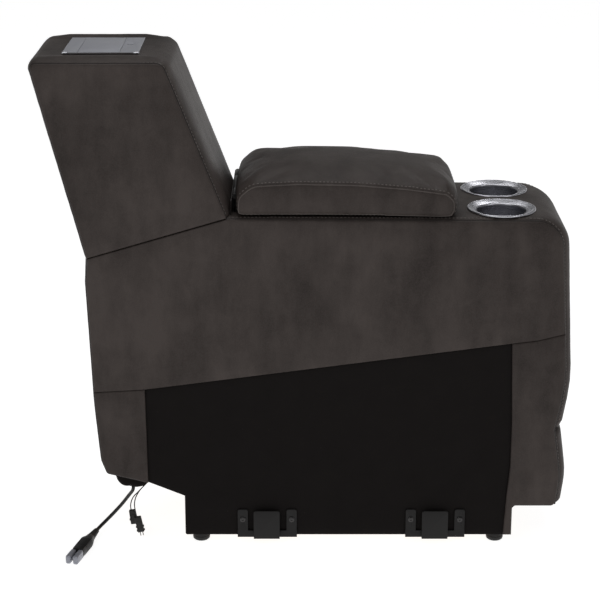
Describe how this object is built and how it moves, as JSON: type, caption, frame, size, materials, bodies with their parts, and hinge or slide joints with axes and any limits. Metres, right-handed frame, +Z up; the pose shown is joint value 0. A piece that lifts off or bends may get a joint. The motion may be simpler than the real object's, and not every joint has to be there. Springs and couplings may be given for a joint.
{
  "type": "reclining sofa storage console",
  "caption": "Storage console of a modular reclining sofa: raked back with a power hub, padded lift-up lid over a bin, cup holders and side interlock brackets.",
  "frame": {"origin": "on the floor, under the middle of the console's bounding box, its cords left out", "axes": "+X towards the front, +Y towards the far side, +Z up"},
  "size_m": [1.0223, 0.3832, 0.9693],
  "materials": {
    "leather": "dark brown-grey semi-gloss upholstery leather, fine grain, topstitched",
    "padded_leather": "the same leather over soft foam",
    "black_cloth": "black non-woven lining cloth",
    "plywood": "raw frame plywood",
    "black_steel": "black coated stamped steel",
    "bright_steel": "brushed stainless steel",
    "aluminium": "satin bluish-grey anodised aluminium",
    "black_plastic": "black moulded plastic",
    "bin_lining": "dark cloth-lined bin board",
    "rubber": "black cord jacket and moulded plug"
  },
  "bodies": {
    "root": {"side_frame_near": "plywood", "side_frame_far": "plywood", "front_rail": "plywood", "base_board": "plywood", "rear_floor": "plywood", "top_board": "plywood", "arm_top_cover": "leather", "storage_bin": "bin_lining", "cup_holder_near": "bright_steel", "cup_holder_far": "bright_steel", "foot_near_rear": "black_plastic", "foot_near_front": "black_plastic", "foot_far_rear": "black_plastic", "foot_far_front": "black_plastic", "side_cover_near": "leather", "side_cover_far": "leather", "side_lining_near": "black_cloth", "side_lining_far": "black_cloth", "front_pad": "padded_leather", "rear_cover": "leather", "back_receiver_near": "black_steel", "back_receiver_far": "black_steel", "lid_hinge_base": "black_steel", "bracket_near_rear": "black_steel", "bracket_near_front": "black_steel", "bracket_far_rear": "black_steel", "bracket_far_front": "black_steel", "cord_pouch": "black_cloth", "power_cord": "rubber", "power_plug": "rubber", "left_wire": "rubber", "right_wire": "rubber", "left_connector": "black_plastic", "right_connector": "black_plastic", "bracket_screw_near_rear_a": "black_steel", "bracket_screw_near_rear_b": "black_steel", "bracket_screw_near_front_a": "black_steel", "bracket_screw_near_front_b": "black_steel", "bracket_screw_far_rear_a": "black_steel", "bracket_screw_far_rear_b": "black_steel", "bracket_screw_far_front_a": "black_steel", "bracket_screw_far_front_b": "black_steel"},
    "back": {"back_side_cover_near": "leather", "back_side_cover_far": "leather", "back_frame_near": "plywood", "back_frame_far": "plywood", "back_bottom_board": "plywood", "back_front_pad": "padded_leather", "back_rear_cover": "leather", "back_top_cover": "leather", "back_blade_near": "bright_steel", "back_blade_far": "bright_steel", "hub_housing": "black_plastic", "hub_bezel": "aluminium", "hub_socket_block": "black_plastic"},
    "lid": {"lid_board": "plywood", "lid_cushion": "padded_leather", "lid_hinge_leaf": "black_steel"},
    "hub_door": {"hub_door": "aluminium"},
    "hub_button": {"hub_button": "aluminium"}
  },
  "joints": [
    {"name": "lid_hinge", "type": "hinge", "parent": "root", "child": "lid", "pos_m": [-0.1355, 0, 0.699], "axis": [0, -1, 0], "range_deg": [0, 60]},
    {"name": "back_lift", "type": "slide", "parent": "root", "child": "back", "axis": [-0.2843, 0, 0.9587], "range_m": [0, 0.11]},
    {"name": "hub_door_hinge", "type": "hinge", "parent": "back", "child": "hub_door", "pos_m": [-0.42225, 0, 0.96705], "axis": [0, -1, 0], "range_deg": [0, 100]},
    {"name": "hub_button_press", "type": "slide", "parent": "back", "child": "hub_button", "axis": [0, 0, -1], "range_m": [0, 0.0015], "stiffness_N_per_m": 400}
  ]
}
